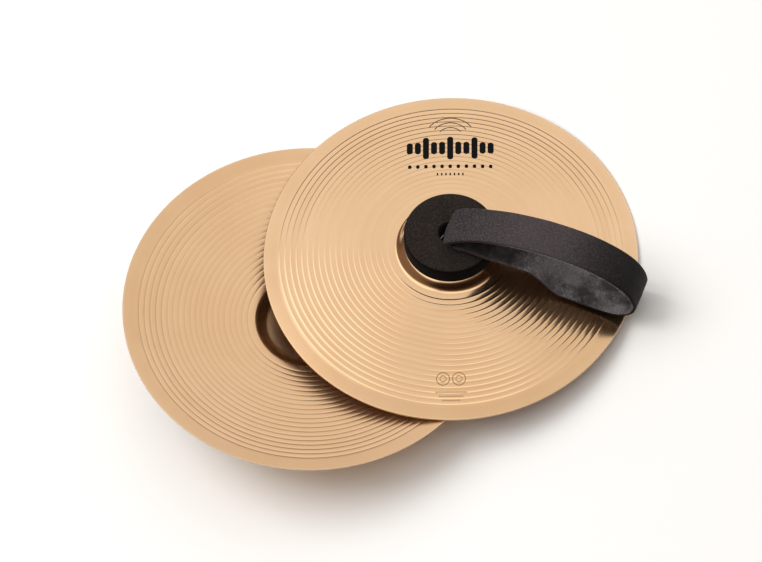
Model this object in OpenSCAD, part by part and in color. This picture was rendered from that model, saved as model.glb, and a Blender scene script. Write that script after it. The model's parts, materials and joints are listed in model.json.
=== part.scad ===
/* [Cymbals] */
// Diameter of each cymbal
cymbal_d = 203.2; // [190:0.1:215]
// Thickness of the bronze sheet
sheet_t = 0.9; // [0.8:0.05:1.1]
// Rise of the bow from the rim to where it would meet the axis
bow_h = 13; // [12:0.1:14]
// Radius where the bell's shoulder starts
shoulder_r = 23.5; // [23:0.1:24.5]
// Radius where the bell's shoulder runs into the bow
bell_r = 30.3; // [29.8:0.1:30.8]
// Height of the bell's crown above the rim
bell_h = 18; // [17:0.1:19]
// Fall of the bell's flat crown from the middle to the shoulder
crown_fall = 0.5; // [0.4:0.05:0.9]
// Diameter of the centre hole
hole_d = 11.6; // [11:0.1:12]

/* [Tone grooves] */
// How many raised rings the bow carries
ring_count = 20; // [10:1:20]
// Radius of the innermost ring
ring_first_r = 33.8; // [33:0.1:35]
// Distance from one ring to the next
ring_pitch = 3.1; // [3:0.05:3.1]
// Height of a ring above the sheet
ring_h = 0.2; // [0.15:0.05:0.4]
// Width of a ring at its foot
ring_w = 1.5; // [0.8:0.1:1.6]

/* [Pad] */
// Diameter of the finger pad
pad_d = 50; // [46:0.5:52]
// Thickness of the finger pad
pad_t = 10; // [9:0.1:10.5]
// Diameter of the hole through the pad
pad_hole_d = 12.6; // [12.4:0.1:13]
// How far the lower pad is squashed where it meets the table
pad_squash = 0.25; // [0.1:0.05:0.3]

/* [Strap] */
// Full width of the hand strap
strap_w = 25; // [22:0.5:27]
// Width of the strap's tapered tails
tail_w = 7; // [6:0.1:7.4]
// Thickness of the strap's outer layer
outer_t = 1.4; // [1.2:0.1:1.4]
// Thickness of the strap's lining
lining_t = 1; // [0.8:0.1:1]
// How far the upper loop reaches from the cymbal's axis
upper_reach = 107; // [104:1:110]
// How far the lower loop reaches from the cymbal's axis
lower_reach = 88; // [86:1:90]
// Turn of the upper loop away from the line of centres
upper_turn = -39; // [-60:1:60]
// Roll of the upper strap all along its outer run
upper_roll = 14; // [0:1:16]
// Twist of the lower strap in the fold at the loop's end
fold_twist = 26; // [0:1:28]

/* [Fittings] */
// Diameter of the leather washer inside the bell
washer_d = 26; // [22:0.5:28]
// Thickness of the leather washer
washer_t = 2; // [1.5:0.1:2.2]
// Diameter of the knot inside the bell
knot_d = 15; // [13:0.5:16]
// Length of each strap end beyond the knot
tail_end_l = 10; // [6:0.5:11]

/* [Resting place] */
// Distance between the two cymbals' axes along the rim plane
centre_gap = 82; // [78:0.5:86]
// Lean of the lower cymbal, propped on its folded strap
lower_lean = 11; // [10.9:0.05:11.1]

/* [Hidden] */

$fn = 96;
skin = 0.05;                                  // air between two pieces of one cymbal
rim_r = cymbal_d / 2;
pad_top = bell_h + pad_t;
strap_t = outer_t + lining_t;
strap_foot = pad_top + 0.5;                   // where the loop's two ends stand on the pad

// The lower cymbal stands on the edge of its pad, the upper one on the lower rim and its own.
lower_h = pad_top * cos(lower_lean) + pad_d / 2 * sin(lower_lean) - pad_squash;
cross_h = lower_h - centre_gap / 2 * sin(lower_lean) + 2 * skin;
upper_lean = asin(cross_h / (centre_gap / 2 + rim_r));
upper_h = rim_r * sin(upper_lean);
gap_x = centre_gap / 2 * (cos(lower_lean) + cos(upper_lean));
lower_x = -(gap_x + rim_r * (cos(upper_lean) - cos(lower_lean))) / 2;
upper_x = lower_x + gap_x;

function bow_z(r) = bow_h * (1 - pow(r / rim_r, 2));
function bell_z(r) = bell_h - sheet_t - crown_fall * pow(r / shoulder_r, 2);
function shoulder_z(r) = let (t = (r - shoulder_r) / (bell_r - shoulder_r), k = t * t * (3 - 2 * t))
    bell_z(r) * (1 - k) + bow_z(r) * k;

// The sheet's underside from the centre hole out to the rim.
function sheet_curve() = concat(
    [for (i = [0:4]) let (r = hole_d / 2 + (shoulder_r - hole_d / 2) * i / 4) [r, bell_z(r)]],
    [for (i = [1:8]) let (r = shoulder_r + (bell_r - shoulder_r) * i / 8) [r, shoulder_z(r)]],
    [for (i = [0:ring_count - 1], side = [-1:1])
        let (r = ring_first_r + i * ring_pitch + side * ring_w / 2)
        [r, bow_z(r) + (side == 0 ? ring_h : 0)]],
    [[rim_r - 3.5, bow_z(rim_r - 3.5)], [rim_r, 0]]
);

// A cubic curve through its end points a and d, sampled without its last point.
function cubic(a, b, c, d, steps) = [for (i = [0:steps - 1]) let (t = i / steps, k = 1 - t)
    k * k * k * a + 3 * k * k * t * b + 3 * k * t * t * c + t * t * t * d];

// The strap's middle line: out from the pad over the crest, round the fold, back along the bow.
function strap_path(reach, crest, slope, neck, lie, step_in) = let (
    start = [-strap_t / 2 - skin, strap_foot],
    finish = [strap_t / 2 + skin, strap_foot],
    fold = [reach, 16],
    low = [reach - 12, bow_z(reach - 12) + lie],
    rest = [reach - 40 + step_in, bow_z(reach - 40 + step_in) + lie - 0.2],
    ledge = [rest[0] - 20 + step_in / 2, strap_foot - 0.3]
) concat(
    cubic(start, [start[0], neck], crest - [32, 32 * slope], crest, 14),
    cubic(crest, crest + [0.28 * reach, 10 * slope], [reach - 2, 36], fold, 14),
    cubic(fold, fold + [0.8, -7], low + [8, -0.6], low, 10),
    cubic(low, low + [-8, 1.2], rest + [8, -1.3], rest, 6),
    cubic(rest, rest + [-8, 1.3], ledge + [8, -2], ledge, 10),
    cubic(ledge, ledge + [-8, 1.7], [finish[0], neck - 0.3], finish, 12),
    [finish]
);

upper_path = strap_path(upper_reach, [48, 48], 0, 35, 4.2, 0);
lower_path = strap_path(lower_reach, [50, 41], tan(lower_lean), 31.2, 4.2, 6);

function span(path, i) = norm(path[i + 1] - path[i]);
function along(path) = let (last = len(path) - 1)
    [for (i = 0, s = 0; i <= last; s = s + (i < last ? span(path, i) : 0), i = i + 1) s];
function normal_at(path, i) = let (
    a = path[max(i - 1, 0)], b = path[min(i + 1, len(path) - 1)], d = (b - a) / norm(b - a)
) [-d[1], d[0]];

// The strap narrows to a neck and then to its tail over the last stretch at both ends.
function width_at(s, total) = let (
    e = min(s, total - s),
    mouth = min(max((e - 3) / 4, 0), 1),
    flare = min(max((e - 7) / 17, 0), 1),
    neck_w = 0.88 * strap_w
) tail_w + (neck_w - tail_w) * mouth * (2 - mouth) + (strap_w - neck_w) * flare;

function ease(t) = let (k = min(max(t, 0), 1)) k * k * (3 - 2 * k);

// One layer of the strap, from side_a to side_b off the middle line, as one swept band.
// lean rolls the whole outer run, twist only the fold.
module strap_layer(path, side_a, side_b, lean, twist) {
    s = along(path);
    last = len(path) - 1;
    fold_s = s[28];
    points = [for (i = [0:last], corner = [[-1, side_a], [1, side_a], [1, side_b], [-1, side_b]])
        let (
            n = normal_at(path, i),
            outer_run = ease((s[i] - 4) / 24) * (1 - ease((s[i] - fold_s) / 26)),
            roll = lean * outer_run + twist * exp(-pow((s[i] - fold_s) / 13, 2)),
            half = corner[0] * width_at(s[i], s[last]) / 2,
            off = corner[1]
        )
        [path[i][0] + n[0] * off, half * cos(roll), path[i][1] + n[1] * off + half * sin(roll)]];
    sides = [for (i = [0:last - 1], k = [0:3], half = [0, 1])
        let (a = 4 * i + k, b = 4 * i + (k + 1) % 4) half == 0 ? [a, b, b + 4] : [a, b + 4, a + 4]];
    end = 4 * last;
    polyhedron(points, concat([[3, 2, 1, 0]], sides, [[end, end + 1, end + 2, end + 3]]));
}

// Puts a cymbal drawn crown up, with its rim at the origin, in its resting place.
module lower_place() {
    translate([lower_x, 0, lower_h]) rotate([0, lower_lean, 0]) rotate([180, 0, 0]) children();
}
module upper_place() {
    translate([upper_x, 0, upper_h]) rotate([0, upper_lean, 0]) children();
}

module cymbal() {
    curve = sheet_curve();
    back = [for (i = [len(curve) - 1:-1:0]) curve[i] + [0, sheet_t]];
    color("burlywood") rotate_extrude() polygon(concat(curve, back));
}

// A rolled metal eyelet that lines the centre hole.
module eyelet() {
    bore = hole_d / 2 - 0.9;
    tube = hole_d / 2 - skin;
    flange = pad_hole_d / 2 - 0.1;
    top = bell_h + skin;
    foot = bell_z(hole_d / 2) - 0.15;
    color("silver") rotate_extrude() polygon([
        [bore, foot - 0.5], [flange, foot - 0.5], [flange, foot], [tube, foot],
        [tube, top], [flange, top], [flange, top + 0.5], [bore, top + 0.5]
    ]);
}

module pad() {
    edge = 1.2;
    color("#2a2423") rotate_extrude() difference() {
        union() {
            translate([pad_hole_d / 2, bell_h + skin])
                square([pad_d / 2 - edge - pad_hole_d / 2, pad_t - skin]);
            translate([pad_hole_d / 2, bell_h + skin])
                square([(pad_d - pad_hole_d) / 2, pad_t - skin - edge]);
            translate([pad_d / 2 - edge, pad_top - edge]) circle(edge);
        }
        translate([-pad_d, bell_h]) square([pad_d + pad_hole_d / 2, pad_t + 1]);
    }
}

module strap_outer(path, lean, twist) {
    color("#3f393a") strap_layer(path, strap_t / 2, strap_t / 2 - outer_t, lean, twist);
}
module strap_lining(path, lean, twist) {
    color("#2d2727") strap_layer(path, strap_t / 2 - outer_t, -strap_t / 2, lean, twist);
}

// The two tails hang side by side from the loop down to the knot.
module strap_tails() {
    foot = knot_top() + skin;
    top = pad_top - 0.8;
    color("#2d2727") for (side = [-1, 1])
        translate([side * (strap_t / 4 + 0.4), 0, (foot + top) / 2])
            cube([strap_t / 2 + 0.6, tail_w, top - foot], center = true);
}

// The washer pulls up against the eyelet's lower flange.
function washer_top() = bell_z(hole_d / 2) - 0.65 - skin;
function knot_top() = washer_top() - washer_t - skin;

module washer() {
    color("#5a3b26") translate([0, 0, washer_top() - washer_t]) difference() {
        cylinder(d = washer_d, h = washer_t);
        translate([0, 0, -1]) cylinder(d = hole_d - 1.6, h = washer_t + 2);
    }
}

knot_round = 3.2;
knot_h = 8;

module knot() {
    color("#2d2727") translate([0, 0, knot_top() - knot_h]) rotate_extrude() {
        square([knot_d / 2 - knot_round, knot_h]);
        translate([0, knot_round]) square([knot_d / 2, knot_h - 2 * knot_round]);
        for (z = [knot_round, knot_h - knot_round]) translate([knot_d / 2 - knot_round, z])
            intersection() {
                circle(knot_round);
                translate([-knot_round, -knot_round]) square(2 * knot_round);
            }
    }
}

module tail_ends() {
    color("#2d2727") for (side = [0, 180])
        rotate([0, 0, side]) translate([knot_d / 2 + skin, -tail_w / 2, knot_top() - knot_h / 2 - 1])
            cube([tail_end_l, tail_w, strap_t / 2 + 0.6]);
}

// Everything above the table.
module above_table() {
    difference() {
        children();
        translate([-500, -500, -100]) cube([1000, 1000, 100]);
    }
}

lower_place() cymbal();  // lower_cymbal
lower_place() eyelet();  // lower_eyelet
above_table() lower_place() pad();  // lower_pad
lower_place() rotate([0, 0, 180]) strap_outer(lower_path, 0, -fold_twist);  // lower_strap
lower_place() rotate([0, 0, 180]) strap_lining(lower_path, 0, -fold_twist);  // lower_strap_lining
lower_place() rotate([0, 0, 180]) strap_tails();  // lower_strap_tails
lower_place() washer();  // lower_washer
lower_place() knot();  // lower_knot
lower_place() rotate([0, 0, 60]) tail_ends();  // lower_tail_ends
upper_place() cymbal();  // upper_cymbal
upper_place() eyelet();  // upper_eyelet
upper_place() pad();  // upper_pad
upper_place() rotate([0, 0, upper_turn]) strap_outer(upper_path, -upper_roll, -3);  // upper_strap
upper_place() rotate([0, 0, upper_turn]) strap_lining(upper_path, -upper_roll, -3);  // upper_strap_lining
upper_place() rotate([0, 0, upper_turn]) strap_tails();  // upper_strap_tails
upper_place() washer();  // upper_washer
upper_place() knot();  // upper_knot
upper_place() rotate([0, 0, 60]) tail_ends();  // upper_tail_ends
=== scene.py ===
import json
import math

import bpy
from mathutils import Matrix, Vector, noise


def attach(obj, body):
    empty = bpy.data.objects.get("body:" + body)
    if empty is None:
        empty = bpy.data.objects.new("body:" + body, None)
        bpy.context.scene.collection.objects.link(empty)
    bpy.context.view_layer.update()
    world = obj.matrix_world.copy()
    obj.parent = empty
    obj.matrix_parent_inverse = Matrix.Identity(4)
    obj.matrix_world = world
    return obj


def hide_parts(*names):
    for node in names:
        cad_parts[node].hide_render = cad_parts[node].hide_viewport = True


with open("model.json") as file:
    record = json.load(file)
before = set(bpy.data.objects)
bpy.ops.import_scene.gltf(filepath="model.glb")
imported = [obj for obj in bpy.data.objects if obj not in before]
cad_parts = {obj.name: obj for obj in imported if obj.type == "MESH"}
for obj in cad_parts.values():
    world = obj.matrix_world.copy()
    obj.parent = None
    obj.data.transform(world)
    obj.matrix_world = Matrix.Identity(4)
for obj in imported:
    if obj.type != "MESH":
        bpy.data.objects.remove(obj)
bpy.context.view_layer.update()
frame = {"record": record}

# ---------------------------------------------------------------- driving sizes, in millimetres
MM = 0.001
SKIN = 0.05                                   # the gap between two pieces that lie on each other

RIM_R = 101.6
SHEET_T = 0.9
BOW_H = 13.0
SHOULDER_R = 23.5                             # where the flat crown ends
BELL_R = 30.3                                 # where the shoulder meets the bow
BELL_H = 18.0
CROWN_FALL = 0.5
HOLE_R = 5.8
EDGE_R = 0.25                                 # the rim's rounding, inwards
EDGE_LOW = 0.18                               # and upwards, at the underside
EDGE_HIGH = SHEET_T - 0.12
RIM_SUPPORTS = (6.5, 3.5, 1.2, 0.5, 0.33)     # extra mesh loops, in from the rim

RING_COUNT = 20
RING_FIRST_R = 33.8
RING_PITCH = 3.1
RING_H = 0.14
RING_W = 1.7
CRISP_FROM = 15                               # the rings from here to the rim are higher and narrower
CRISP_H = 0.16
CRISP_W = 1.5

PAD_R = 25.0
PAD_TOP = 28.0
PAD_HOLE_R = 6.3
PAD_CROWN = 0.35                              # how far the face falls towards its edge
PAD_EDGE_R = 1.3
PAD_LIP_R = 1.0
PAD_FOOT_R = 0.8
PAD_WALL = 7.1
PAD_BULGE = 0.15
TABLE_GAP = 0.00002                           # metres

STRAP_W = 25.0
NECK_W = 0.90 * STRAP_W
TAIL_W = 7.0
TAIL_OUT = 1.0                                # half the distance between the two tails
TAIL_HALF_T = 0.78
OUTER_T = 1.4
LINING_T = 1.0
STRAP_T = OUTER_T + LINING_T
LINING_TOP = STRAP_T / 2 - OUTER_T            # where the two layers meet, from the strap's middle

WASHER_R = 13.0
WASHER_T = 2.0
KNOT_R = 7.5
KNOT_H = 8.0
KNOT_CORD_R = 2.3
END_HALF_T = 0.75
END_LENGTH = 11.0


# ---------------------------------------------------------------- places
def joint(name):
    return next(j for j in frame["record"]["behaviour"]["joints"] if j["name"] == name)


def resting_place(swivel, crown_up):
    """The matrix from a cymbal drawn crown up in millimetres to where it rests."""
    up = Vector(joint(swivel)["axis"]).normalized()
    along = Vector((up.z, 0, -up.x)).normalized()
    turn = Matrix((along, up.cross(along), up)).transposed()
    if not crown_up:
        turn = turn @ Matrix.Rotation(math.pi, 3, "X")
    return Matrix.Translation(Vector(joint(swivel)["pos_m"])) @ turn.to_4x4()


PLACE = {"lower": resting_place("lower_swivel", False), "upper": resting_place("upper_swivel", True)}


def turned(side, degrees):
    """A cymbal's resting place, turned about its own axis."""
    return PLACE[side] @ Matrix.Rotation(math.radians(degrees), 4, "Z")


# ---------------------------------------------------------------- the sheet's shape
def bow_z(r):
    return BOW_H * (1 - (r / RIM_R) ** 2)


def bell_z(r):
    return BELL_H - SHEET_T - CROWN_FALL * (r / SHOULDER_R) ** 2


def ring_size(index):
    return (CRISP_H, CRISP_W) if index >= CRISP_FROM else (RING_H, RING_W)


def ring_z(r):
    """How far the nearest ring lifts the sheet at radius r."""
    index = round((r - RING_FIRST_R) / RING_PITCH)
    if not 0 <= index < RING_COUNT:
        return 0.0
    height, width = ring_size(index)
    off = abs(r - RING_FIRST_R - index * RING_PITCH) / (width / 2)
    return height * (0.5 + 0.5 * math.cos(math.pi * off)) if off < 1 else 0.0


def sheet_z(r):
    """The sheet's underside: a flat-crowned bell, its rounded shoulder, then the bow with its rings."""
    if r >= BELL_R:
        return bow_z(r) + ring_z(r)
    t = max((r - SHOULDER_R) / (BELL_R - SHOULDER_R), 0)
    fall = t * t * (3 - 2 * t)
    return bell_z(r) * (1 - fall) + bow_z(r) * fall


# ---------------------------------------------------------------- mesh helpers
def new_object(name, verts, faces, place):
    """A smooth mesh object from points in millimetres, drawn in the frame that place gives."""
    mesh = bpy.data.meshes.new(name)
    mesh.from_pydata([(v[0] * MM, v[1] * MM, v[2] * MM) for v in verts], [], faces)
    mesh.validate()
    mesh.update()
    mesh.polygons.foreach_set("use_smooth", [True] * len(mesh.polygons))
    obj = bpy.data.objects.new(name, mesh)
    obj.matrix_world = place
    bpy.context.scene.collection.objects.link(obj)
    return obj


def lathe(name, profile, segments, place, shape=None):
    """Turns a closed outline of (r, z) points round the axis. shape(point, z) may move each point."""
    count = len(profile)
    verts = []
    for k in range(segments):
        angle = 2 * math.pi * k / segments
        for r, z in profile:
            point = Vector((r * math.cos(angle), r * math.sin(angle), z))
            verts.append(shape(point, z) if shape else point)
    faces = []
    for k in range(segments):
        here, there = k * count, (k + 1) % segments * count
        for i in range(count):
            j = (i + 1) % count
            faces.append((here + i, here + j, there + j, there + i))
    return new_object(name, verts, faces, place)


def tube(name, sections, place, closed=False):
    """Skins a row of equal cross-sections. The ends are capped unless the row closes on itself."""
    size = len(sections[0])
    verts = [p for section in sections for p in section]
    faces = []
    for i in range(len(sections) - (0 if closed else 1)):
        here, there = i * size, (i + 1) % len(sections) * size
        for k in range(size):
            j = (k + 1) % size
            faces.append((here + k, here + j, there + j, there + k))
    if not closed:
        last = (len(sections) - 1) * size
        faces.append(tuple(range(size - 1, -1, -1)))
        faces.append(tuple(last + k for k in range(size)))
    return new_object(name, verts, faces, place)


def arc(cx, cz, radius, start, stop, steps):
    """Points on an arc in the (r, z) plane, angles in degrees."""
    angles = [math.radians(start + (stop - start) * i / steps) for i in range(steps + 1)]
    return [(cx + radius * math.cos(a), cz + radius * math.sin(a)) for a in angles]


def join(obj, other):
    """Makes other part of obj's mesh."""
    for item in bpy.context.selected_objects:
        item.select_set(False)
    obj.select_set(True)
    other.select_set(True)
    bpy.context.view_layer.objects.active = obj
    bpy.ops.object.join()


def finish_piece(obj, body, node, material):
    """Gives a piece its material, attaches it to the body it rides on, and hides the CAD node it stands for.
    """
    obj.data.materials.append(material)
    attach(obj, body)
    if node:
        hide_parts(node)


# ---------------------------------------------------------------- material helpers
def colour_ramp(tree, value, stops, interpolation="LINEAR"):
    """Turns a number into a colour, by (position, colour) stops."""
    node = tree.nodes.new("ShaderNodeValToRGB")
    node.color_ramp.interpolation = interpolation
    elements = node.color_ramp.elements
    while len(elements) < len(stops):
        elements.new(0.5)
    for element, (position, colour) in zip(elements, stops):
        element.position = position
        element.color = (*colour, 1)
    tree.links.new(value, node.inputs["Fac"])
    return node.outputs["Color"]


class Shader:
    """A material with a Principled shader and short calls for its nodes."""

    def __init__(self, name):
        self.material = bpy.data.materials.new(name)
        self.material.use_nodes = True
        self.tree = self.material.node_tree
        self.nodes = self.tree.nodes
        self.links = self.tree.links
        self.base = self.nodes["Principled BSDF"]
        self.places = self.nodes.new("ShaderNodeTexCoord")
        self.coords = self.places.outputs["Object"]

    def set(self, **values):
        """Sets the Principled shader's own sockets, with _ for each space in a name."""
        for key, value in values.items():
            self.base.inputs[key.replace("_", " ")].default_value = value

    def link(self, source, target):
        """Links to a socket, or to the Principled shader's socket of that name."""
        if isinstance(target, str):
            target = self.base.inputs[target]
        self.links.new(source, target)

    def math(self, operation, a, b=0.0, clamp=False):
        node = self.nodes.new("ShaderNodeMath")
        node.operation = operation
        node.use_clamp = clamp
        for socket, value in zip(node.inputs, (a, b)):
            if isinstance(value, (int, float)):
                socket.default_value = value
            else:
                self.links.new(value, socket)
        return node.outputs[0]

    def noise(self, scale, detail=4.0, roughness=0.5, distortion=0.0):
        node = self.nodes.new("ShaderNodeTexNoise")
        node.inputs["Scale"].default_value = scale
        node.inputs["Detail"].default_value = detail
        node.inputs["Roughness"].default_value = roughness
        node.inputs["Distortion"].default_value = distortion
        self.links.new(self.coords, node.inputs["Vector"])
        return node.outputs["Fac"]

    def line_noise(self, where, scale, detail=3.0):
        """Noise along one number, such as the distance from the axis."""
        node = self.nodes.new("ShaderNodeTexNoise")
        node.noise_dimensions = "1D"
        node.inputs["Scale"].default_value = scale
        node.inputs["Detail"].default_value = detail
        self.links.new(where, node.inputs["W"])
        return node.outputs["Fac"]

    def cracks(self, scale):
        """The distance to the nearest edge between cells."""
        node = self.nodes.new("ShaderNodeTexVoronoi")
        node.feature = "DISTANCE_TO_EDGE"
        node.inputs["Scale"].default_value = scale
        self.links.new(self.coords, node.inputs["Vector"])
        return node.outputs["Distance"]

    def ramp(self, value, *stops):
        return colour_ramp(self.tree, value, stops)

    def span(self, value, low, high, out_low=0.0, out_high=1.0):
        """Maps low..high onto out_low..out_high, and stops at those ends."""
        node = self.nodes.new("ShaderNodeMapRange")
        self.links.new(value, node.inputs["Value"])
        for key, number in (("From Min", low), ("From Max", high), ("To Min", out_low), ("To Max", out_high)):
            node.inputs[key].default_value = number
        return node.outputs["Result"]

    def mix(self, factor, a, b):
        node = self.nodes.new("ShaderNodeMix")
        node.data_type = "RGBA"
        for socket, value in ((node.inputs[0], factor), (node.inputs[6], a), (node.inputs[7], b)):
            if isinstance(value, (int, float)):
                socket.default_value = value
            elif isinstance(value, tuple):
                socket.default_value = (*value, 1)
            else:
                self.links.new(value, socket)
        return node.outputs[2]

    def bump(self, height, distance, strength=1.0, under=None):
        """Bump on top of another bump, if under gives one. distance is in metres."""
        node = self.nodes.new("ShaderNodeBump")
        node.inputs["Distance"].default_value = distance
        node.inputs["Strength"].default_value = strength
        self.links.new(height, node.inputs["Height"])
        if under is not None:
            self.links.new(under, node.inputs["Normal"])
        return node.outputs["Normal"]

    def split(self, vector):
        """The X, Y and Z sockets of a vector."""
        node = self.nodes.new("ShaderNodeSeparateXYZ")
        self.links.new(vector, node.inputs[0])
        return node.outputs

    def along(self):
        """How far out from the cymbal's axis a point of the strap lies, in metres."""
        return self.split(self.coords)["X"]

    def radius(self):
        """Distance from the piece's own axis, in metres."""
        axes = self.split(self.coords)
        squares = [self.math("POWER", axes[key], 2) for key in ("X", "Y")]
        return self.math("SQRT", self.math("ADD", *squares))


# ---------------------------------------------------------------- materials
def bronze():
    """Turned bronze: lathe lines, faint tarnish, a brighter rim, glossy outside and satin in the hollow."""
    s = Shader("turned_bronze")
    r = s.radius()
    lines = s.line_noise(r, 2600, 3)
    bands = s.line_noise(r, 160, 2)
    cloud = s.noise(14, 4, 0.6)
    smudge = s.noise(55, 5, 0.65, distortion=0.6)
    colour = s.ramp(
        cloud,
        (0.30, (0.800, 0.520, 0.300)),
        (0.55, (0.835, 0.560, 0.335)),
        (0.75, (0.860, 0.590, 0.370)))
    colour = s.mix(s.span(bands, 0.35, 0.7, 0.0, 0.22), colour, (0.74, 0.455, 0.245))
    rim = s.span(r, (RIM_R - 1.0) * MM, RIM_R * MM)
    colour = s.mix(s.math("MULTIPLY", rim, 0.5, True), colour, (0.93, 0.72, 0.50))
    s.link(colour, "Base Color")
    gloss = s.math("ADD", s.span(lines, 0.3, 0.7, 0.11, 0.18), s.span(smudge, 0.45, 0.75, 0.0, 0.05))
    hollow = s.span(s.split(s.places.outputs["Normal"])["Z"], 0.1, -0.1, 0.0, 0.20)
    s.link(s.math("ADD", gloss, hollow), "Roughness")
    s.set(Metallic=1.0, Anisotropic=0.45)
    tangent = s.nodes.new("ShaderNodeTangent")
    tangent.direction_type = "RADIAL"
    tangent.axis = "Z"
    s.link(tangent.outputs[0], "Tangent")
    turned_lines = s.bump(lines, 0.000006, 0.4)
    s.link(s.bump(bands, 0.00003, 0.4, turned_lines), "Normal")
    return s.material


def ink():
    """Thin black screen print."""
    s = Shader("print_ink")
    grain = s.noise(2200, 3)
    s.link(s.ramp(grain, (0.3, (0.0015, 0.0015, 0.0015)), (0.7, (0.004, 0.0038, 0.004))), "Base Color")
    s.link(s.span(grain, 0.3, 0.7, 0.50, 0.68), "Roughness")
    s.link(s.bump(grain, 0.00001, 0.4), "Normal")
    s.set(Specular_IOR_Level=0.10)
    return s.material


def etching():
    """Matt, darker bronze where the sheet was etched."""
    s = Shader("etched_bronze")
    grain = s.noise(3000, 3)
    s.link(s.ramp(grain, (0.3, (0.26, 0.145, 0.065)), (0.7, (0.40, 0.24, 0.115))), "Base Color")
    s.link(s.span(grain, 0.3, 0.7, 0.45, 0.65), "Roughness")
    s.link(s.bump(grain, 0.00002, 0.6), "Normal")
    s.set(Metallic=0.85)
    return s.material


def plated():
    """Bright plated metal with a little wear."""
    s = Shader("plated_eyelet")
    wear = s.noise(900, 5, 0.6)
    s.link(s.ramp(wear, (0.3, (0.58, 0.57, 0.55)), (0.7, (0.82, 0.81, 0.79))), "Base Color")
    s.link(s.span(wear, 0.3, 0.7, 0.12, 0.30), "Roughness")
    s.link(s.bump(wear, 0.00002, 0.3), "Normal")
    s.set(Metallic=1.0)
    return s.material


def foam():
    """Dense felted foam: fine open grain, slow cloudy tone, lighter scuffs and a painted shade that darkens
    the side wall.
    """
    s = Shader("pad_foam")
    grain = s.noise(1200, 4, 0.7)
    fibre = s.noise(620, 6, 0.7, distortion=1.2)
    cloud = s.noise(60, 3)
    colour = s.ramp(cloud, (0.32, (0.013, 0.0095, 0.008)), (0.70, (0.020, 0.0150, 0.013)))
    colour = s.mix(s.span(grain, 0.45, 0.70, 0.0, 0.6), colour, (0.058, 0.046, 0.042))
    colour = s.mix(s.span(fibre, 0.58, 0.80, 0.0, 0.35), colour, (0.046, 0.037, 0.034))
    wall = s.span(s.radius(), (PAD_R - 0.9) * MM, (PAD_R - 0.2) * MM)     # painted shade: the pad's side wall darkened almost to black
    colour = s.mix(s.math("MULTIPLY", wall, 0.96, True), colour, (0.0012, 0.0008, 0.0006))
    s.link(colour, "Base Color")
    s.link(s.span(fibre, 0.3, 0.7, 0.86, 0.97), "Roughness")
    s.set(Sheen_Weight=0.03, Sheen_Roughness=0.5, Specular_IOR_Level=0.08)
    fine = s.bump(grain, 0.00018, 0.6)
    s.link(s.bump(fibre, 0.00035, 0.45, fine), "Normal")
    return s.material


def suede():
    """The strap's outer face: fine nubuck grain, a painted highlight over the crest and painted shade at the
    loop's far end.
    """
    s = Shader("strap_suede")
    grain = s.noise(1150, 4, 0.75)
    nap = s.noise(420, 5, 0.65, distortion=0.8)
    cloud = s.noise(48, 4, 0.6)
    along = s.along()
    colour = s.ramp(cloud, (0.30, (0.015, 0.0120, 0.0125)), (0.72, (0.029, 0.0235, 0.0245)))
    from_painted_highlight = s.math("ABSOLUTE", s.math("SUBTRACT", along, 0.052))
    # painted highlight: the suede is made paler over the loop's crest, where the overhead light falls
    crest = s.span(from_painted_highlight, 0.010, 0.042, 0.30, 0.0)
    colour = s.mix(crest, colour, (0.115, 0.092, 0.096))
    colour = s.mix(s.span(grain, 0.46, 0.70, 0.0, 0.75), colour, (0.125, 0.106, 0.110))
    colour = s.mix(s.span(nap, 0.55, 0.78, 0.0, 0.30), colour, (0.062, 0.052, 0.055))
    # painted shade: the far end of the loop is darkened, where it faces away from the light
    colour = s.mix(s.span(along, 0.066, 0.104, 0.0, 0.90), colour, (0.0045, 0.0036, 0.0036))
    s.link(colour, "Base Color")
    s.link(s.span(nap, 0.3, 0.7, 0.72, 0.90), "Roughness")
    s.set(Sheen_Weight=0.05, Sheen_Roughness=0.45, Specular_IOR_Level=0.12)
    fine = s.bump(grain, 0.00016, 0.7)
    s.link(s.bump(nap, 0.00025, 0.4, fine), "Normal")
    return s.material


def creased_leather():
    """The strap's inner face: glossy leather, cracked, and pale where the hand presses: part wear, part
    painted highlight.
    """
    s = Shader("strap_leather")
    shake = s.noise(150, 5, 0.7, distortion=1.4)
    branch = s.noise(210, 3, 0.6, distortion=2.0)
    ridge = s.math("ABSOLUTE", s.math("SUBTRACT", branch, 0.5))
    crease = s.cracks(330)
    patch = s.noise(70, 4, 0.6)
    flake = s.span(ridge, 0.0, 0.030)
    fold = s.span(crease, 0.0, 0.05)
    pressed_and_lit_band = s.span(s.along(), 0.024, 0.052)
    colour = s.ramp(shake, (0.32, (0.010, 0.008, 0.008)), (0.70, (0.022, 0.018, 0.019)))
    # pale patches that are part wear and part painted highlight, where the glossy face catches the overhead
    # light
    rubbed_wear_and_highlight = s.math("MULTIPLY", s.span(patch, 0.37, 0.54), pressed_and_lit_band, True)
    flaked_wear_and_highlight = s.math("MULTIPLY", rubbed_wear_and_highlight, s.math("SUBTRACT", 1.0, flake), True)
    colour = s.mix(s.math("MULTIPLY", rubbed_wear_and_highlight, 0.75), colour, (0.20, 0.183, 0.192))
    colour = s.mix(s.math("MULTIPLY", flaked_wear_and_highlight, 0.85), colour, (0.48, 0.45, 0.465))
    s.link(colour, "Base Color")
    s.link(s.span(shake, 0.3, 0.7, 0.32, 0.55), "Roughness")
    s.set(Coat_Weight=0.15, Coat_Roughness=0.35, Specular_IOR_Level=0.5)
    fine = s.bump(flake, 0.00025, 0.9)
    folds = s.bump(fold, 0.00022, 0.5, fine)
    s.link(s.bump(shake, 0.0008, 0.4, folds), "Normal")
    return s.material


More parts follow.
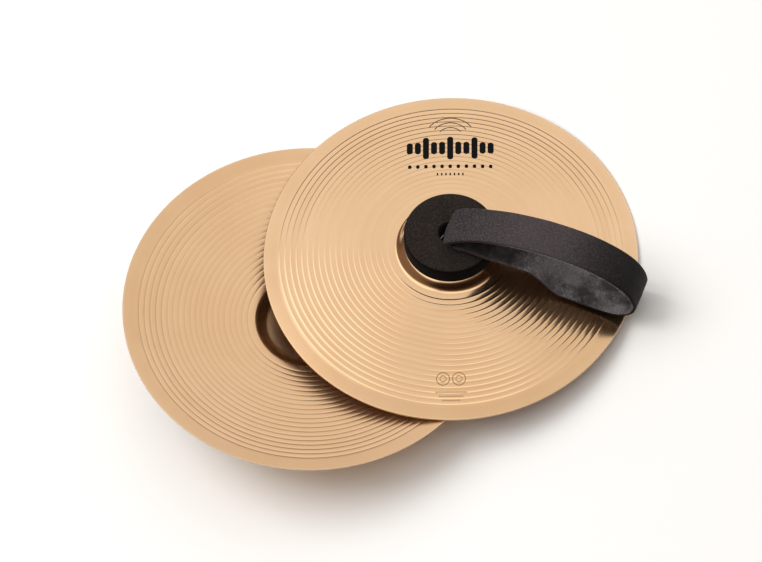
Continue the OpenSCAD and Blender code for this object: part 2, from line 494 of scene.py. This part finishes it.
def raw_leather():
    """Undyed brown leather with a dry, cracked grain."""
    s = Shader("washer_leather")
    grain = s.cracks(1300)
    fibre = s.noise(500, 5, 0.7, distortion=0.9)
    colour = s.ramp(fibre, (0.3, (0.115, 0.052, 0.024)), (0.7, (0.21, 0.105, 0.052)))
    s.link(s.mix(s.span(grain, 0.1, 0.0, 0.0, 0.5), colour, (0.05, 0.022, 0.012)), "Base Color")
    s.link(s.span(fibre, 0.3, 0.7, 0.55, 0.78), "Roughness")
    s.link(s.bump(s.span(grain, 0.0, 0.12), 0.00015, 0.6), "Normal")
    return s.material


BRONZE, INK, ETCHING, PLATED = bronze(), ink(), etching(), plated()
FOAM, SUEDE, LEATHER, RAW_LEATHER = foam(), suede(), creased_leather(), raw_leather()


# ---------------------------------------------------------------- cymbals
def cymbal_radii():
    """Radii close together where the sheet bends and further apart where it runs plain."""
    radii = [HOLE_R + (SHOULDER_R - HOLE_R) * i / 10 for i in range(11)]
    radii += [SHOULDER_R + (BELL_R - SHOULDER_R) * i / 16 for i in range(1, 17)]
    for i in range(RING_COUNT):
        centre = RING_FIRST_R + i * RING_PITCH
        radii += [centre + ring_size(i)[1] / 2 * k / 4 for k in range(-4, 5)]
    return radii + [RIM_R - inwards for inwards in RIM_SUPPORTS]


def make_cymbal(side):
    """The spun sheet: its underside out to the rim, and its upper side back to the hole."""
    radii = cymbal_radii()
    under = [(r, sheet_z(r)) for r in radii]
    inner, inner_z = RIM_R - EDGE_R, bow_z(RIM_R - EDGE_R)
    edge = [(inner, inner_z), (RIM_R, EDGE_LOW), (RIM_R, EDGE_HIGH), (inner, inner_z + SHEET_T)]
    over = [(r, sheet_z(r) + SHEET_T) for r in reversed(radii)]
    obj = lathe(side + "_bronze_cymbal", under + edge + over, 192, PLACE[side])
    finish_piece(obj, side + "_cymbal", side + "_cymbal", BRONZE)


def make_eyelet(side):
    """A metal tube through the sheet, with a rolled flange above and below."""
    bore, tube_r, flange = HOLE_R - 0.9, HOLE_R - SKIN, PAD_HOLE_R - 0.1
    roll = 0.25
    top, foot = BELL_H + SKIN, bell_z(HOLE_R) - 0.15
    profile = [(bore, foot - 0.3)] + arc(flange - roll, foot - roll, roll, -90, 90, 6)
    profile += [(tube_r, foot), (tube_r, top)] + arc(flange - roll, top + roll, roll, -90, 90, 6)
    profile += [(bore + 0.3, top + 0.5), (bore + 0.08, top + 0.4), (bore, top + 0.2)]
    obj = lathe(side + "_rolled_eyelet", profile, 64, PLACE[side])
    finish_piece(obj, side + "_cymbal", side + "_eyelet", PLATED)


# ---------------------------------------------------------------- pads
def pad_profile():
    """The pad's outline: face, rounded edge, wall, underside on the bell, and the hole."""
    face_in, face_out = PAD_HOLE_R + PAD_LIP_R, PAD_R - PAD_EDGE_R
    face = [face_in + (face_out - face_in) * i / 18 for i in range(19)]
    crown = [(r, PAD_TOP - PAD_CROWN * (r / PAD_R) ** 4) for r in face]
    edge_z = PAD_TOP - PAD_CROWN - PAD_EDGE_R
    edge = arc(PAD_R - PAD_EDGE_R, edge_z, PAD_EDGE_R, 80, 0, 6)
    down = (0.1, 0.3, 0.5, 0.7, 0.9)
    wall = [(PAD_R + PAD_BULGE * math.sin(math.pi * t), edge_z - t * PAD_WALL) for t in down]
    low = sheet_z(PAD_R) + SHEET_T + SKIN
    base = arc(PAD_R - PAD_FOOT_R, low + PAD_FOOT_R, PAD_FOOT_R, 0, -90, 4)
    under = [(r, sheet_z(r) + SHEET_T + SKIN) for r in (24, 22, 19, 15, 11, 8)]
    hole = [(PAD_HOLE_R, z) for z in (BELL_H + SKIN, 21, 24.5)]
    lip = arc(PAD_HOLE_R + PAD_LIP_R, PAD_TOP - PAD_LIP_R, PAD_LIP_R, 180, 100, 4)
    return (hole + lip + crown + edge + wall + base + under)[::-1]


def make_pad(side):
    """A firm foam disc, a little uneven, and flattened where its edge rests on the table."""
    to_world = PLACE[side]
    to_local = to_world.inverted()

    def press(point, z):
        swell = noise.noise(point * 0.09) * 0.14 + noise.noise(point * 0.35 + Vector((7, 3, 1))) * 0.05
        share = min(max((z - BELL_H - SKIN) / 6, 0), 1)
        moved = point + Vector((0, 0, (swell - 0.12) * share))
        world = to_world @ (moved * MM)
        world.z = max(world.z, TABLE_GAP)
        return (to_local @ world) / MM

    obj = lathe(side + "_foam_pad", pad_profile(), 160, to_world, press)
    finish_piece(obj, side + "_grip", side + "_pad", FOAM)


# ---------------------------------------------------------------- straps
RUN_STEPS = 42                                # points on each of the path's first two curves
FOLD_AT = 2 * RUN_STEPS                       # so this is the point at the loop's far end
LIE = 4.2                                     # the strap's middle above the bow, where it lies on it
LOWER_LEAN = math.radians(11)
ROLL_START, ROLL_IN, ROLL_OUT = 4, 24, 26     # where the roll begins, and how soon it comes and goes
TWIST_SPREAD = 13                             # how far the fold's twist reaches along the strap
CURL, CURL_IN = 0.35, 25                      # how far the edges curl inwards, and how soon
RIPPLE = 0.16
MOUTH_START, MOUTH_LENGTH = 2, 3.5            # where the tails widen into the neck
FLARE_START, FLARE_LENGTH = 7, 17             # where the neck widens into the band
EDGE_ANGLES = (0.6, 1.2, 1.57, 1.94, 2.54)    # round the band's edge, in radians


def cubic(a, b, c, d, steps):
    """A cubic curve's points, without its last one."""
    points = []
    for i in range(steps):
        t, k = i / steps, 1 - i / steps
        points.append(tuple(
            k ** 3 * a[n] + 3 * k * k * t * b[n] + 3 * k * t * t * c[n] + t ** 3 * d[n] for n in (0, 1)))
    return points


def strap_path(reach, crest, slope, neck, step_in):
    """The strap's middle line in its own upright plane, as in the CAD model but closer spaced."""
    foot = PAD_TOP + 0.5
    start, end = (-STRAP_T / 2 - SKIN, foot), (STRAP_T / 2 + SKIN, foot)
    fold = (reach, 16)
    low = (reach - 12, bow_z(reach - 12) + LIE)
    rest_r = reach - 40 + step_in
    rest = (rest_r, bow_z(rest_r) + LIE - 0.2)
    ledge = (rest_r - 20 + step_in / 2, foot - 0.3)
    pieces = (
        (start, (start[0], neck), (crest[0] - 32, crest[1] - 32 * slope), crest, RUN_STEPS),
        (crest, (crest[0] + 0.28 * reach, crest[1] + 10 * slope), (reach - 2, 36), fold, RUN_STEPS),
        (fold, (fold[0] + 0.8, fold[1] - 7), (low[0] + 8, low[1] - 0.6), low, 30),
        (low, (low[0] - 8, low[1] + 1.2), (rest[0] + 8, rest[1] - 1.3), rest, 18),
        (rest, (rest[0] - 8, rest[1] + 1.3), (ledge[0] + 8, ledge[1] - 2), ledge, 30),
        (ledge, (ledge[0] - 8, ledge[1] + 1.7), (end[0], neck - 0.3), end, 36),
    )
    return [p for piece in pieces for p in cubic(*piece)] + [end]


STRAPS = {
    "upper": dict(
        path=strap_path(reach=107.0, crest=(48, 48), slope=0, neck=35, step_in=0),
        turn=-39.0, lean=math.radians(-14), twist=math.radians(-3)),
    "lower": dict(
        path=strap_path(reach=88.0, crest=(50, 41), slope=math.tan(LOWER_LEAN), neck=31.2, step_in=6),
        turn=180.0, lean=0, twist=math.radians(-26)),
}


def ease(t):
    k = min(max(t, 0), 1)
    return k * k * (3 - 2 * k)


def strap_roll(side, s, fold_s):
    """lean rolls the whole outer run, twist only the fold at the loop's end."""
    strap = STRAPS[side]
    outer_run = ease((s - ROLL_START) / ROLL_IN) * (1 - ease((s - fold_s) / ROLL_OUT))
    return strap["lean"] * outer_run + strap["twist"] * math.exp(-((s - fold_s) / TWIST_SPREAD) ** 2)


def distances(path):
    """How far along the path each of its points lies."""
    total = [0.0]
    for a, b in zip(path, path[1:]):
        total.append(total[-1] + math.hypot(b[0] - a[0], b[1] - a[1]))
    return total


def strap_width(s, total):
    """Narrow at both ends, where the tails go on through the pad."""
    e = min(s, total - s)
    mouth = min(max((e - MOUTH_START) / MOUTH_LENGTH, 0), 1)
    flare = min(max((e - FLARE_START) / FLARE_LENGTH, 0), 1)
    return TAIL_W + (NECK_W - TAIL_W) * mouth * (2 - mouth) + (STRAP_W - NECK_W) * flare


def band_section(width, low, high, across):
    """A flat band's outline with rounded edges: (position across, height) pairs."""
    rim = (high - low) / 2
    middle = (high + low) / 2
    flat = width / 2 - rim
    top = [(-flat + 2 * flat * i / across, high) for i in range(across + 1)]
    right = [(flat + rim * math.sin(a), middle + rim * math.cos(a)) for a in EDGE_ANGLES]
    bottom = [(flat - 2 * flat * i / across, low) for i in range(across + 1)]
    left = [(-flat - rim * math.sin(a), middle - rim * math.cos(a)) for a in EDGE_ANGLES]
    return top + right + bottom + left


def make_layer(side, name, node, material, low, high):
    """One layer of the hand loop, swept along the strap's middle line, slightly curled and rippled."""
    path = STRAPS[side]["path"]
    s = distances(path)
    sections = []
    for i, (u, w) in enumerate(path):
        before, after = path[max(i - 1, 0)], path[min(i + 1, len(path) - 1)]
        du, dw = after[0] - before[0], after[1] - before[1]
        size = math.hypot(du, dw)
        out_u, out_w = -dw / size, du / size
        roll = strap_roll(side, s[i], s[FOLD_AT])
        free = min(1, min(s[i], s[-1] - s[i]) / CURL_IN)
        section = []
        for v, h in band_section(strap_width(s[i], s[-1]), low, high, 14):
            curl = -CURL * free * (2 * v / STRAP_W) ** 2
            ripple = RIPPLE * free * noise.noise(Vector((s[i] * 0.11, v * 0.13, 2.0)))
            lift = h + curl + ripple
            section.append((
                u + out_u * lift,
                v * math.cos(roll),
                w + out_w * lift + v * math.sin(roll)))
        sections.append(section)
    obj = tube(side + "_" + name, sections, turned(side, STRAPS[side]["turn"]))
    finish_piece(obj, side + "_loop", side + "_" + node, material)


def make_tails(side):
    """Two flat tails side by side, from under the loop down through the pad and the eyelet."""
    top, foot, steps = PAD_TOP - 0.8, knot_top() + SKIN, 14
    tails = []
    for sign, name in ((-1, "_tails"), (1, "_tail_two")):
        sections = []
        for i in range(steps + 1):
            z = top + (foot - top) * i / steps
            sway = 0.048 * math.sin(i * 0.9 + sign)
            outline = band_section(TAIL_W, -TAIL_HALF_T, TAIL_HALF_T, 6)
            sections.append([(sign * TAIL_OUT + h + sway, v, z) for v, h in outline])
        tails.append(tube(side + name, sections, turned(side, STRAPS[side]["turn"])))
    join(*tails)
    finish_piece(tails[0], side + "_grip", side + "_strap_tails", LEATHER)


# ---------------------------------------------------------------- inside the bell
def washer_top():
    """Just under the eyelet's lower flange."""
    return bell_z(HOLE_R) - 0.65 - SKIN


def knot_top():
    return washer_top() - WASHER_T - SKIN


def make_washer(side):
    """A leather disc with a hole and rounded corners."""
    top, foot, bore = washer_top(), washer_top() - WASHER_T, HOLE_R - 0.8
    profile = arc(bore + 0.4, foot + 0.4, 0.4, 180, 270, 4) + [(8, foot), (10.5, foot)]
    profile += arc(WASHER_R - 0.6, foot + 0.6, 0.6, -90, 0, 5)
    profile += arc(WASHER_R - 0.4, top - 0.4, 0.4, 0, 90, 4)
    profile += [(9, top)] + arc(bore + 0.3, top - 0.3, 0.3, 90, 180, 3)
    obj = lathe(side + "_leather_washer", profile, 96, PLACE[side])
    finish_piece(obj, side + "_grip", side + "_washer", RAW_LEATHER)


def knot_line(t):
    """The middle line of a flat three-lobed knot, for t from 0 to a full turn."""
    ring = (KNOT_R - KNOT_CORD_R) / 3
    x = ring * (math.sin(t) + 2 * math.sin(2 * t))
    y = ring * (math.cos(t) - 2 * math.cos(2 * t))
    rise = KNOT_H / 2 - KNOT_CORD_R
    return Vector((x, y, knot_top() - KNOT_H / 2 - rise * math.sin(3 * t)))


def make_knot(side):
    """The strap's end pulled into a knot, with the folds of flat leather along it."""
    steps, around = 150, 18
    sections = []
    for i in range(steps):
        t = 2 * math.pi * i / steps
        centre = knot_line(t)
        ahead = (knot_line(t + 0.01) - knot_line(t - 0.01)).normalized()
        out = Vector((centre.x, centre.y, 0)).normalized()
        lift = ahead.cross(out).normalized()
        out = lift.cross(ahead).normalized()
        section = []
        for k in range(around):
            a = 2 * math.pi * k / around
            crease = 1 - 0.10 * abs(math.sin(2 * a)) + 0.05 * math.sin(6 * a + 3 * t)
            section.append(centre + (out * math.cos(a) * 0.88 + lift * math.sin(a)) * KNOT_CORD_R * crease)
        sections.append(section)
    obj = tube(side + "_strap_knot", sections, PLACE[side], closed=True)
    finish_piece(obj, side + "_grip", side + "_knot", LEATHER)


def make_tail_ends(side):
    """The two cut ends beyond the knot, drooping a little."""
    height, steps = knot_top() - KNOT_H / 2 - 0.1, 16
    ends = []
    for turn, name in ((0, "_cut_ends"), (math.pi, "_cut_ends_two")):
        sections = []
        for i in range(steps + 1):
            along = KNOT_R - 1.2 + END_LENGTH * i / steps
            droop = 0.5 * math.sin(i / steps * math.pi) - 0.35 * i / steps
            width = TAIL_W - (1.6 if i == steps else 0.4 * i / steps)
            section = []
            for v, h in band_section(width, -END_HALF_T, END_HALF_T, 6):
                section.append((
                    along * math.cos(turn) - v * math.sin(turn),
                    along * math.sin(turn) + v * math.cos(turn),
                    height + droop + h))
            sections.append(section)
        ends.append(tube(side + name, sections, turned(side, 60)))
    join(*ends)
    finish_piece(ends[0], side + "_grip", side + "_tail_ends", LEATHER)


# ---------------------------------------------------------------- marks on the upper cymbal
MARK_LIFT = 0.05
MARK_STEP = 0.22                              # how far apart a mark's rows of points are
LEAST_HALF = 0.02                             # a bar's half width at its very ends
FAR_SIDE = math.radians(68.2)                 # where the print sits on the upper cymbal
NEAR_SIDE = FAR_SIDE + math.pi


def on_sheet(across, radius, azimuth):
    """A point laid on the upper face: across the mark, out along the azimuth."""
    out = Vector((math.cos(azimuth), math.sin(azimuth), 0))
    side = Vector((math.sin(azimuth), -math.cos(azimuth), 0))
    flat = out * radius + side * across
    return Vector((flat.x, flat.y, sheet_z(flat.length) + SHEET_T + MARK_LIFT))


class Mark:
    """Flat shapes laid on the upper face at one azimuth, fine enough to follow the rings."""

    def __init__(self, azimuth):
        self.azimuth = azimuth
        self.verts = []
        self.faces = []

    def add(self, rows):
        first, across = len(self.verts), len(rows[0])
        for row in rows:
            self.verts.extend(on_sheet(x, r, self.azimuth) for x, r in row)
        for i in range(len(rows) - 1):
            for k in range(across - 1):
                here = first + i * across + k
                self.faces.append((here, here + 1, here + across + 1, here + across))

    def bar(self, across, radius, wide, tall):
        """One upright bar with round ends."""
        steps, columns = max(int(tall / MARK_STEP), 3), 5
        rows = []
        for i in range(steps + 1):
            y = -tall / 2 + tall * i / steps
            end = max(abs(y) - (tall - wide) / 2, 0)
            half = math.sqrt(max((wide / 2) ** 2 - end ** 2, LEAST_HALF ** 2))
            rows.append([(across - half + 2 * half * k / (columns - 1), radius + y) for k in range(columns)])
        self.add(rows)

    def arc(self, across, radius, inner, outer, start=0, stop=360):
        """A thin arc, or a whole ring."""
        steps, columns = max(int(math.radians(stop - start) * outer / MARK_STEP), 48), 3
        rows = []
        for i in range(steps + 1):
            a = math.radians(start + (stop - start) * i / steps)
            widths = [inner + (outer - inner) * k / (columns - 1) for k in range(columns)]
            rows.append([(across + d * math.cos(a), radius + d * math.sin(a)) for d in widths])
        self.add(rows)

    def finish(self, name, material):
        obj = new_object(name, self.verts, self.faces, PLACE["upper"])
        finish_piece(obj, "upper_cymbal", None, material)


def make_print():
    """Plain sound bars under thin sound arcs, with two rows of dots below them, in black ink."""
    mark = Mark(FAR_SIDE)
    for inner in (6.4, 9.8, 13.2):
        mark.arc(0, 73.0, inner, inner + 0.45, start=32, stop=148)
    for k in range(-5, 6):
        mark.bar(k * 4.4, 65.0, wide=3.3, tall=11.5 + 4.5 * math.cos(k * 2.1) - 0.3 * abs(k))
    for k in range(-5, 6):
        mark.bar(k * 4.4, 52.2, wide=1.9, tall=2.6)
    for k in range(-3, 4):
        mark.bar(k * 2.3, 46.8, wide=0.8, tall=2.0)
    mark.finish("upper_printed_bars", INK)


def make_stamp():
    """A small etched device: two pairs of rings and three dotted lines."""
    mark = Mark(NEAR_SIDE)
    for offset in (-4.3, 4.3):
        mark.arc(offset, 79.0, inner=3.3, outer=3.7)
        mark.arc(offset, 79.0, inner=1.5, outer=1.8)
    for row, length in enumerate((9, 7, 5)):
        for k in range(-length, length + 1):
            mark.bar(k * 0.9, 86.5 + 2.2 * row, wide=0.45, tall=0.95)
    mark.finish("upper_etched_device", ETCHING)


# ---------------------------------------------------------------- the pair
for side in ("lower", "upper"):
    make_cymbal(side)
    make_eyelet(side)
    make_pad(side)
    make_layer(side, "suede_loop", "strap", SUEDE, LINING_TOP, STRAP_T / 2)
    make_layer(side, "leather_loop", "strap_lining", LEATHER, -STRAP_T / 2, LINING_TOP)
    make_tails(side)
    make_washer(side)
    make_knot(side)
    make_tail_ends(side)
make_print()
make_stamp()


# ---------------------------------------------------------------- floor, light and camera
def floor():
    """A plain pale floor, 40 m wide, so that its edge is never in sight."""
    half = 20
    corners = [(-half, -half, 0), (half, -half, 0), (half, half, 0), (-half, half, 0)]
    mesh = bpy.data.meshes.new("floor")
    mesh.from_pydata(corners, [], [(0, 1, 2, 3)])
    obj = bpy.data.objects.new("floor", mesh)
    bpy.context.scene.collection.objects.link(obj)
    s = Shader("floor_paint")
    s.set(Base_Color=(0.93, 0.93, 0.93, 1), Roughness=0.9, Specular_IOR_Level=0.1)
    mesh.materials.append(s.material)


def key_light():
    """A large soft lamp, high on the left. The bronze doesn't mirror it."""
    place = Vector((-0.9, 0.6, 1.5))
    data = bpy.data.lights.new("key", "AREA")
    data.energy = 18
    data.shape = "RECTANGLE"
    data.size = data.size_y = 1.3
    obj = bpy.data.objects.new("key", data)
    obj.location = place
    obj.rotation_euler = (-place).to_track_quat("-Z", "Y").to_euler()
    obj.visible_glossy = False
    bpy.context.scene.collection.objects.link(obj)


def surroundings():
    """A studio that is bright above and behind, dim and warm low down and in front, with a soft panel
    on the left and one overhead. Each ramp takes the dot product of a ray and one fixed direction."""
    world = bpy.data.worlds.new("studio")
    world.use_nodes = True
    bpy.context.scene.world = world
    tree = world.node_tree
    nodes, links = tree.nodes, tree.links
    coords = nodes.new("ShaderNodeTexCoord").outputs["Generated"]

    def facing(direction):
        dot = nodes.new("ShaderNodeVectorMath")
        dot.operation = "DOT_PRODUCT"
        dot.inputs[1].default_value = direction
        links.new(coords, dot.inputs[0])
        return dot.outputs["Value"]

    def ramp(direction, *stops):
        return colour_ramp(tree, facing(direction), stops, "EASE")

    def blend(kind, first, second):
        node = nodes.new("ShaderNodeMix")
        node.data_type = "RGBA"
        node.blend_type = kind
        node.inputs[0].default_value = 1.0
        links.new(first, node.inputs[6])
        links.new(second, node.inputs[7])
        return node.outputs[2]

    dim, clear = (0.15, 0.108, 0.082), (1, 1, 1)
    low = ramp((0.25, 0.14, 1.0), (0.43, dim), (0.63, clear))
    front = ramp((0.0, 0.8, 1.0), (0.12, dim), (0.50, clear))
    back = ramp((0.0, 1.0, 0.0), (0.0, (0.86, 0.83, 0.78)), (0.5, (1.0, 0.985, 0.965)))
    left_panel = ramp((-0.78, 0.15, 0.61), (0.66, (0, 0, 0)), (0.80, (0.65, 0.64, 0.62)))
    top_panel = ramp((0.12, -0.45, 0.885), (0.90, (0, 0, 0)), (0.97, (0.50, 0.49, 0.48)))
    lit = blend("ADD", blend("ADD", back, left_panel), top_panel)
    shaded = blend("MULTIPLY", blend("MULTIPLY", lit, low), front)
    links.new(shaded, nodes["Background"].inputs["Color"])
    nodes["Background"].inputs["Strength"].default_value = 1.0


def camera():
    """A long lens, placed by elevation, azimuth and roll about the point it looks at."""
    elevation, azimuth, roll = math.radians(61.24), math.radians(-3.02), math.radians(-21.6)
    aim = Vector((0.0003, -0.0028, 0.0317))
    back = Vector((
        math.sin(azimuth) * math.cos(elevation),
        -math.cos(azimuth) * math.cos(elevation),
        math.sin(elevation)))
    data = bpy.data.cameras.new("camera")
    data.sensor_width = 36
    data.lens = 600
    view_width = 0.4122                       # what the picture's width shows at the aim
    distance = view_width * data.lens / data.sensor_width
    data.clip_end = 100
    obj = bpy.data.objects.new("camera", data)
    turn = back.to_track_quat("Z", "Y").to_matrix() @ Matrix.Rotation(roll, 3, "Z")
    obj.matrix_world = Matrix.Translation(aim + back * distance) @ turn.to_4x4()
    bpy.context.scene.collection.objects.link(obj)
    bpy.context.scene.camera = obj


floor()
surroundings()
key_light()
camera()
bpy.context.scene.view_settings.view_transform = "Standard"
